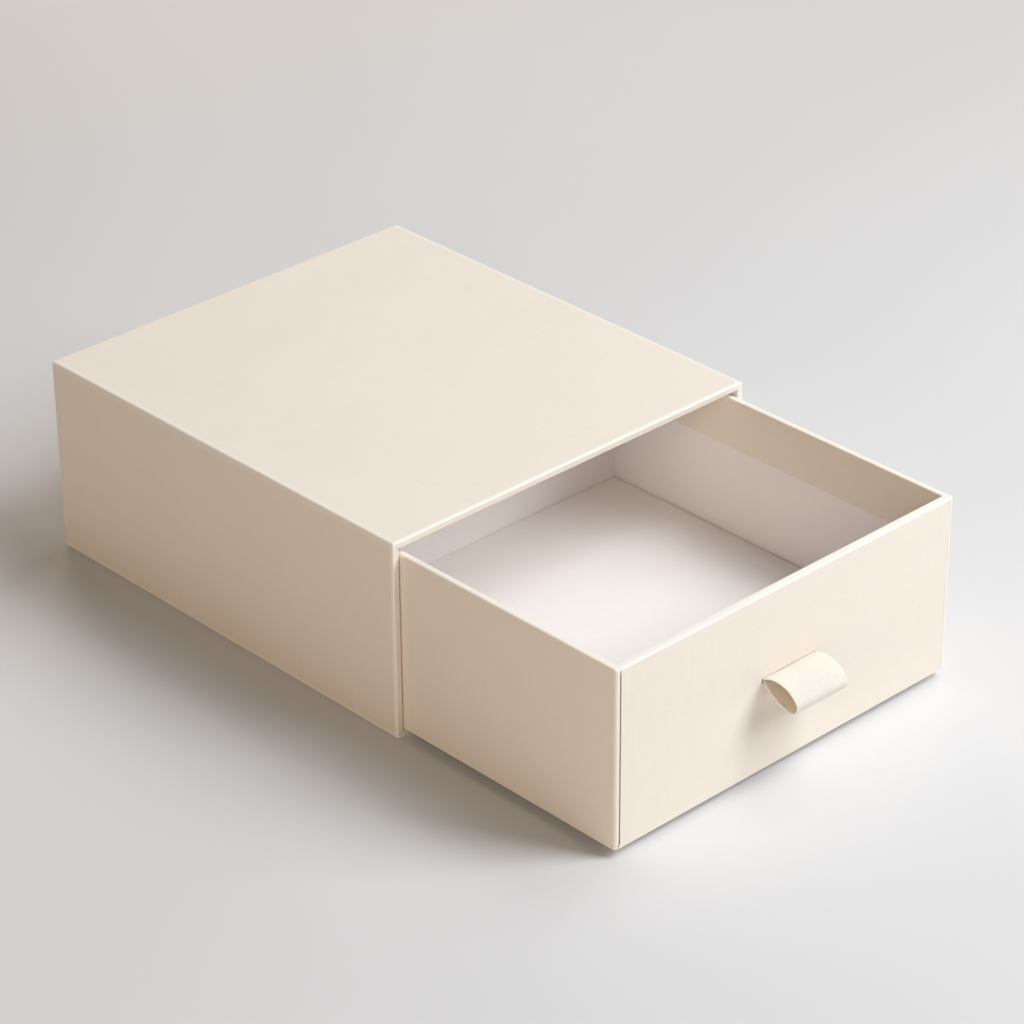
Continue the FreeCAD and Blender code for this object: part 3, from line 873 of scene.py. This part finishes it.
def ribbon_line(ribbon):
    """The ribbon's middle line in its side view, with reach out from the drawer's front and rise from the slot.

    Down behind the front board, out through the slot, along the loop's three arcs, which run into each other
    without a corner, back through the slot and down. Its corners are rounded by a moving average over a fold's
    length. It is returned as points at even, very short steps.
    """
    half = ribbon.thickness / 2
    behind = DRAWER_LOW[Y] - TAIL_Y + half
    nose = np.array([ribbon.nose_reach, -ribbon.nose_drop])
    out, back = np.array([0, half]), np.array([0, -half])
    upper = circle_meeting(out, ribbon.upper_radius, nose, ribbon.upper_radius - ribbon.nose_radius, -1)
    lower = circle_meeting(back, ribbon.lower_radius, nose, ribbon.lower_radius - ribbon.nose_radius, 1)
    upper_end = upper + (nose - upper) * ribbon.upper_radius / np.linalg.norm(nose - upper)
    lower_end = lower + (nose - lower) * ribbon.lower_radius / np.linalg.norm(nose - lower)
    tip = nose + nose * ribbon.nose_radius / np.linalg.norm(nose)
    rough = np.concatenate([
        [[behind, TAIL_TOP - SLOT_Z], [behind, half], [behind, half], out],
        arc_between(upper, out, upper_end), arc_between(nose, upper_end, tip),
        arc_between(nose, tip, lower_end), arc_between(lower, lower_end, back),
        [back, [behind, -half], [behind, -half], [behind, TAIL_BOTTOM - SLOT_Z]],
    ])
    rough = rough[np.append(True, np.linalg.norm(np.diff(rough, axis=0), axis=1) > SAME_PLACE)]
    whole = way_along(rough)[-1]
    line = points_at(rough, np.linspace(0, whole, round(whole / LINE_STEP)))
    window = round(ribbon.bend / LINE_STEP) | 1
    padded = np.concatenate([2 * line[:1] - line[window // 2:0:-1], line,
                             2 * line[-1:] - line[-2:-window // 2 - 1:-1]])
    kernel = np.ones(window) / window
    return np.stack([np.convolve(padded[:, k], kernel, "valid") for k in range(2)], axis=-1)


def ribbon_shape(ribbon):
    """The ribbon: a flat section with round edges carried along its middle line.

    The section's half thickness swells over each rib as the size of a sine does, its edges swing in and out
    with the ribs, and it bows a little across. Returned with each vertex's place on the flat ribbon, its share
    of groove, which the material darkens as painted shade, and the length.
    """
    line = ribbon_line(ribbon)
    whole = way_along(line)[-1]
    ribs = round(whole / ribbon.rib_pitch)
    at = np.linspace(0, whole, ribs * RINGS_PER_RIB + 1)
    middle = points_at(line, at)
    ahead = np.gradient(middle, axis=0)
    ahead /= np.linalg.norm(ahead, axis=1, keepdims=True)
    sunk = 1 - np.abs(np.sin(math.pi * ribs * at / whole))
    uneven = 1 + RIB_SWING * np.sin(at / LONG_WAVE) * np.sin(at / SHORT_WAVE + 1)
    half = ribbon.thickness / 2 - ribbon.rib_height * sunk * uneven
    width = RIBBON_HALF_WIDTH - ribbon.selvedge * sunk
    flat = RIBBON_HALF_WIDTH - SELVEDGE_WIDTH
    spread = close_to_ends(-1, 1, RIBBON_LINES)
    side = np.concatenate([spread, 0 * EDGE_OUT + 1, spread[::-1], 0 * EDGE_OUT - 1])
    bulge = np.concatenate([0 * spread, EDGE_OUT, 0 * spread, -EDGE_OUT])
    face = np.concatenate([0 * spread + 1, EDGE_UP, 0 * spread - 1, -EDGE_UP])
    x = side * flat + bulge * (width - flat)[:, None]
    lift = face * half[:, None] + BOW * np.sin(at / BOW_WAVE)[:, None] * (x / flat) ** 2
    points = np.stack([x, DRAWER_LOW[Y] - middle[:, :1] + ahead[:, 1:] * lift,
                       SLOT_Z + middle[:, 1:] + ahead[:, :1] * lift], axis=-1)
    place = np.stack(np.broadcast_arrays(x, at[:, None], FACES_APART * np.sign(face)), axis=-1)
    # Share of groove, which the material darkens as painted shade
    groove = sunk[:, None] ** 2 * (np.abs(face) > ON_FACE)
    return closed_tube(points), place.reshape(-1, 3), groove.ravel(), whole


class GIFTBOX_OT_stage(bpy.types.Operator):
    """Set the camera, the pale floor and soft studio light"""

    bl_idname = "giftbox.stage"
    bl_label = "Stage"

    def execute(self, context):
        stage = context.scene.gift_box_stage
        place_camera(context, stage)
        floor = make_floor(context, stage)
        make_light(context, stage)
        context.scene.view_settings.view_transform = "Standard"
        return {"FINISHED"}


def place_camera(context, stage):
    """The camera stands on a sphere about its target, turned by its azimuth, elevation and roll."""
    azimuth, elevation, roll = stage.azimuth, stage.elevation, stage.roll
    back = Vector((math.sin(azimuth) * math.cos(elevation), -math.cos(azimuth) * math.cos(elevation),
                   math.sin(elevation)))
    right = Vector((0, 0, 1)).cross(back).normalized()
    up = back.cross(right)
    turned_right = math.cos(roll) * right + math.sin(roll) * up
    turned_up = -math.sin(roll) * right + math.cos(roll) * up
    data = bpy.data.cameras.new("camera")
    data.sensor_width = SENSOR_WIDTH
    data.lens = stage.focal
    data.clip_start, data.clip_end = NEAREST, FARTHEST
    camera = bpy.data.objects.new("camera", data)
    context.scene.collection.objects.link(camera)
    turn = Matrix((turned_right, turned_up, back)).transposed().to_4x4()
    camera.matrix_world = Matrix.Translation(Vector(stage.target) + back * stage.distance) @ turn
    context.scene.camera = camera


def make_floor(context, stage):
    """A wide flat floor of matt backdrop paper, a hair under the box."""
    half = stage.floor_size / 2
    mesh = bpy.data.meshes.new("floor")
    mesh.from_pydata([(-half, -half, 0), (half, -half, 0), (half, half, 0), (-half, half, 0)], [], [(0, 1, 2, 3)])
    mesh.transform(Matrix.Translation((0, 0, -FLOOR_DROP)))
    made, tree, shader = new_material("matt_backdrop_paper")
    place = node(tree, "ShaderNodeTexCoord").outputs["Object"]
    cloud = noise(tree, place, FLOOR_CLOUD, 2.0)
    feed(tree, shader, {"Base Color": shaded(tree, stage.floor_colour, cloud, (0.0, 1.0), (0.985, 1.015)),
                        "Roughness": 0.8, "Specular IOR Level": 0.2})
    mesh.materials.append(made)
    floor = bpy.data.objects.new("floor", mesh)
    context.scene.collection.objects.link(floor)
    return floor


def make_light(context, stage):
    """A weak even sky, a large lamp high at the front right, and weaker warm ones round about.

    The sky looks pale to the eye and in reflections, and lights the box only weakly. Each lamp is a rectangle
    that faces the box from its azimuth, elevation and distance. Its angles are in degrees and its width and
    height in metres.
    """
    world = bpy.data.worlds.new("studio")
    world.use_nodes = True
    world.node_tree.nodes.clear()
    tree = world.node_tree
    sky = node(tree, "ShaderNodeBackground", {"Color": (1.0, 0.97, 0.92, 1.0), "Strength": stage.sky_strength})
    backdrop = node(tree, "ShaderNodeBackground", {"Color": opaque(stage.backdrop_colour)})
    path = node(tree, "ShaderNodeLightPath").outputs
    seen = maths(tree, "ADD", path["Is Camera Ray"], path["Is Glossy Ray"])
    clear = maths(tree, "ADD", seen, path["Is Transmission Ray"], use_clamp=True)
    shown = node(tree, "ShaderNodeMixShader", {0: clear, 1: sky.outputs[0], 2: backdrop.outputs[0]})
    node(tree, "ShaderNodeOutputWorld", {"Surface": shown.outputs[0]})
    context.scene.world = world
    aim = Vector((0, stage.target[Y], stage.target[Z]))
    for name, power, tint, azimuth, elevation, width, height in (
            ("key", stage.key_power, (0.92, 0.955, 1.0), 34, 46, 0.6, 1.2),
            ("left_low", stage.left_power, (0.97, 0.72, 0.50), -72, 12, 0.6, 0.6),
            ("left_fill", stage.fill_power, (1.0, 0.9, 0.78), -42, 33, 0.6, 0.6),
            ("back_low", stage.back_power, (0.96, 0.79, 0.63), 150, 12, 0.6, 0.6),
            ("right_high", stage.right_power, (1.0, 0.97, 0.91), 90, 60, 0.6, 0.6)):
        data = bpy.data.lights.new(name, "AREA")
        data.shape = "RECTANGLE"
        data.size, data.size_y, data.energy, data.color = width, height, power, tint
        lamp = bpy.data.objects.new(name, data)
        turn, rise = math.radians(azimuth), math.radians(elevation)
        way = Vector((math.sin(turn) * math.cos(rise), -math.cos(turn) * math.cos(rise), math.sin(rise)))
        lamp.location = aim + way * stage.lamp_distance
        lamp.rotation_euler = (-way).to_track_quat("-Z", "Y").to_euler()
        context.scene.collection.objects.link(lamp)


class GIFTBOX_OT_sleeve_boards(bpy.types.Operator):
    """Build the sleeve's five greyboard panels"""

    bl_idname = "giftbox.sleeve_boards"
    bl_label = "Sleeve Boards"

    def execute(self, context):
        for side in ("bottom", "top", "left", "right", "back"):
            name = f"sleeve_{side}_board"
            make_piece(f"sleeve_{side}_greyboard", slab(*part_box(name), Y, BOARD_CORNER, SLEEVE_BOARD_EDGE),
                       material("board"), "greyboard", "sleeve", [name])
        return {"FINISHED"}


class GIFTBOX_OT_sleeve_papers(bpy.types.Operator):
    """Build the sleeve's wrap, back sheet and base sheet, and finish its lining"""

    bl_idname = "giftbox.sleeve_papers"
    bl_label = "Sleeve Papers"

    def execute(self, context):
        paper = context.scene.gift_box_paper
        shape, wear = sleeve_wrap_shape(paper)
        make_piece("sleeve_wrap_sheet", shape, material("cover"), "cream_paper", "sleeve", ["sleeve_wrap"],
                   edge_wear=wear)
        back = slab(*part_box("sleeve_back_cover"), Y, WRAP_RADIUS, BACK_SHEET_EDGE, BACK_SHEET_STATIONS)
        make_piece("sleeve_back_sheet", back, material("cover"), "cream_paper", "sleeve", ["sleeve_back_cover"])
        low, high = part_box("sleeve_base_paper")
        low[Y] += paper.lip_radius
        make_piece("sleeve_base_sheet", slab(low, high, Z, SLEEVE_BASE_CORNER, BASE_SHEET_EDGE),
                   material("cover"), "cream_paper", "sleeve", ["sleeve_base_paper"])
        dress(["sleeve_liner", "sleeve_back_liner"], "cover")
        return {"FINISHED"}


class GIFTBOX_OT_drawer_boards(bpy.types.Operator):
    """Build the drawer's five greyboard panels, the front one with its slot"""

    bl_idname = "giftbox.drawer_boards"
    bl_label = "Drawer Boards"

    def execute(self, context):
        for side in ("floor", "back", "left", "right"):
            name = f"drawer_{side}_board"
            make_piece(f"drawer_{side}_greyboard", slab(*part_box(name), Z, BOARD_CORNER, DRAWER_BOARD_EDGE),
                       material("board"), "greyboard", "drawer", [name])
        low, high = (np.array(corner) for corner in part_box("drawer_front_board"))
        make_piece("drawer_front_greyboard", slotted_board(low, high, BOARD_CORNER), material("board"),
                   "greyboard", "drawer", ["drawer_front_board"])
        return {"FINISHED"}


class GIFTBOX_OT_drawer_covers(bpy.types.Operator):
    """Build the cover sheets on the drawer's walls and under its floor"""

    bl_idname = "giftbox.drawer_covers"
    bl_label = "Drawer Covers"

    def execute(self, context):
        paper = context.scene.gift_box_paper
        for side, is_back in (("front", False), ("back", True)):
            shape, wear = end_cover_shape(paper, is_back)
            make_piece(f"drawer_{side}_sheet", shape, material("cover"), "cream_paper", "drawer",
                       [f"drawer_{side}_cover"], edge_wear=wear)
        for side, is_left in (("left", True), ("right", False)):
            shape, wear = side_wrap_shape(paper, is_left)
            make_piece(f"drawer_{side}_sheet", shape, material("cover"), "cream_paper", "drawer",
                       [f"drawer_{side}_wrap"], edge_wear=wear)
        low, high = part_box("drawer_base_paper")
        edge = Vector((paper.foot_radius, paper.foot_radius, 0))
        make_piece("drawer_base_sheet", slab(low + edge, high - edge, Z, DRAWER_BASE_CORNER, BASE_SHEET_EDGE),
                   material("cover"), "cream_paper", "drawer", ["drawer_base_paper"])
        return {"FINISHED"}


class GIFTBOX_OT_drawer_liners(bpy.types.Operator):
    """Build the front liner, raised over the ribbon's ends, and finish the other three"""

    bl_idname = "giftbox.drawer_liners"
    bl_label = "Drawer Liners"

    def execute(self, context):
        make_piece("drawer_front_lining", liner_shape(context.scene.gift_box_ribbon), material("white"),
                   "white_paper", "drawer", ["drawer_front_liner"])
        dress(["drawer_back_liner", "drawer_left_liner", "drawer_right_liner"], "white")
        return {"FINISHED"}


class GIFTBOX_OT_floor_pad(bpy.types.Operator):
    """Build the foam pad on the drawer's floor and its white face"""

    bl_idname = "giftbox.floor_pad"
    bl_label = "Floor Pad"

    def execute(self, context):
        block = slab(*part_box("floor_pad_foam"), Z, PAD_CORNER, FOAM_EDGE, PAD_STATIONS)
        foam = make_piece("floor_pad_cushion", block, material("foam"), "foam", "drawer", ["floor_pad_foam"])
        card = slab(*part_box("floor_pad_face"), Z, PAD_CORNER, CARD_EDGE, PAD_STATIONS)
        make_piece("floor_pad_card", card, material("white"), "white_paper", "drawer", ["floor_pad_face"])
        return {"FINISHED"}


class GIFTBOX_OT_ribbon(bpy.types.Operator):
    """Build the grosgrain ribbon from one glued end through the slot to the other"""

    bl_idname = "giftbox.ribbon"
    bl_label = "Ribbon"

    def execute(self, context):
        ribbon = context.scene.gift_box_ribbon
        shape, place, groove, flat_length = ribbon_shape(ribbon)
        piece = make_piece("ribbon_pull", shape, material("ribbon"), "ribbon", None,
                           ["ribbon_loop", "ribbon_tails"], crisp=75.0, ribbon_place=place, groove=groove)
        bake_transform(piece)
        return {"FINISHED"}


class GIFTBOX_PT_panel(bpy.types.Panel):
    """Lists the box's sizes, colours and steps"""

    bl_idname = "GIFTBOX_PT_panel"
    bl_label = "Gift Box"
    bl_space_type = "VIEW_3D"
    bl_region_type = "UI"
    bl_category = "Gift Box"

    def draw(self, context):
        for group in (context.scene.gift_box_paper, context.scene.gift_box_ribbon, context.scene.gift_box_stage):
            column = self.layout.column()
            for key in group.bl_rna.properties.keys():
                if key not in ("rna_type", "name"):
                    column.prop(group, key)
        for step in STEPS:
            self.layout.operator(step.bl_idname)


GROUPS = {"gift_box_paper": PaperSettings, "gift_box_ribbon": RibbonSettings, "gift_box_stage": StageSettings}
STEPS = (GIFTBOX_OT_stage, GIFTBOX_OT_sleeve_boards, GIFTBOX_OT_sleeve_papers, GIFTBOX_OT_drawer_boards,
         GIFTBOX_OT_drawer_covers, GIFTBOX_OT_drawer_liners, GIFTBOX_OT_floor_pad, GIFTBOX_OT_ribbon)


def register():
    """Makes the settings, steps and panel known."""
    for made in (*GROUPS.values(), *STEPS, GIFTBOX_PT_panel):
        bpy.utils.register_class(made)
    for key, group in GROUPS.items():
        setattr(bpy.types.Scene, key, bpy.props.PointerProperty(type=group))


def unregister():
    """Takes them away again, in the other order."""
    for key in GROUPS:
        delattr(bpy.types.Scene, key)
    for made in (GIFTBOX_PT_panel, *reversed(STEPS), *reversed(list(GROUPS.values()))):
        bpy.utils.unregister_class(made)


def main():
    """Builds the whole box in order."""
    register()
    bpy.ops.giftbox.stage()
    bpy.ops.giftbox.sleeve_boards()
    bpy.ops.giftbox.sleeve_papers()
    bpy.ops.giftbox.drawer_boards()
    bpy.ops.giftbox.drawer_covers()
    bpy.ops.giftbox.drawer_liners()
    bpy.ops.giftbox.floor_pad()
    bpy.ops.giftbox.ribbon()


if __name__ == "__main__":
    main()
